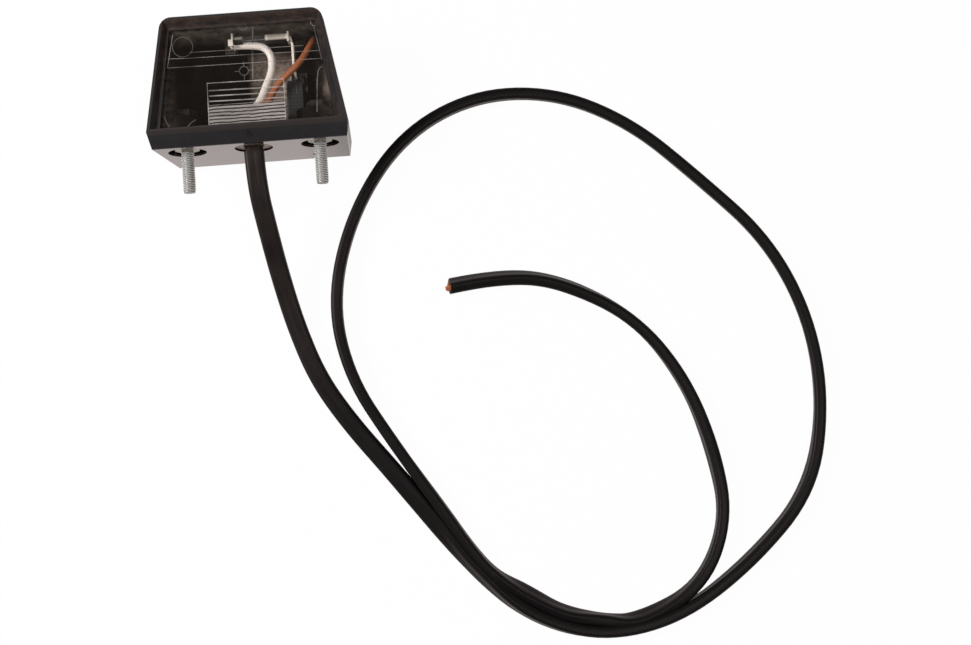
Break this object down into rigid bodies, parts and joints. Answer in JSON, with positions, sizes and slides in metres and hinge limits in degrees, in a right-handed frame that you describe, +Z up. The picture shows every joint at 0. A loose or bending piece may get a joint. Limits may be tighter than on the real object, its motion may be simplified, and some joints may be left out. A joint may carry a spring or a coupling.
{
  "type": "trailer number-plate lamp",
  "caption": "Black number-plate lamp with a clear recessed lens, a lift-off hood, threaded studs on its mounting face and a flat two-core cable.",
  "frame": {"origin": "on the surface that the lamp lies on, under the middle of the lamp's box without the free cable", "axes": "+Z up out of the lens, -Y out of the mounting face along the studs, +X to the right with the mounting face towards the viewer"},
  "size_m": [0.2703, 0.2639, 0.044],
  "materials": {
    "black_housing": "semi-gloss moulded plastic",
    "black_hood": "satin moulded plastic",
    "clear_lens": "clear moulded plastic",
    "seal_rubber": "soft",
    "zinc_steel": "zinc plated",
    "cream_nylon": "satin nylon",
    "plate_steel": "bright",
    "grommet_rubber": "soft",
    "cable_sheath": "satin sheath",
    "grey_plastic": "satin",
    "contact_metal": "tinned spring strip",
    "brass_rivet": "plain",
    "bulb_glass": "clear",
    "bulb_cap": "nickel plated",
    "filament": "drawn",
    "white_insulation": "satin",
    "brown_insulation": "satin",
    "core_insulation": "satin",
    "copper": "bright copper strand"
  },
  "bodies": {
    "base": {"base_housing": "black_housing", "stud_bolts": "zinc_steel", "stud_washers": "cream_nylon", "stud_plates": "plate_steel", "cable_grommet": "grommet_rubber", "cable_entry": "cable_sheath", "cable_clamp": "grey_plastic", "clamp_screws": "zinc_steel", "bulb_carrier": "grey_plastic", "carrier_screw": "zinc_steel", "left_contact": "contact_metal", "right_contact": "contact_metal", "contact_rivets": "brass_rivet", "ring_terminal": "contact_metal", "bulb_glass": "bulb_glass", "bulb_caps": "bulb_cap", "bulb_filament": "filament", "white_wire": "white_insulation", "brown_wire": "brown_insulation", "cable": "cable_sheath", "cable_cores": "core_insulation", "core_strands": "copper"},
    "cover": {"hood_frame": "black_hood", "lens": "clear_lens", "cover_seal": "seal_rubber"}
  },
  "joints": [
    {"name": "cover_lift", "type": "slide", "parent": "base", "child": "cover", "axis": [0, 0, 1], "range_m": [0, 0.06]}
  ]
}
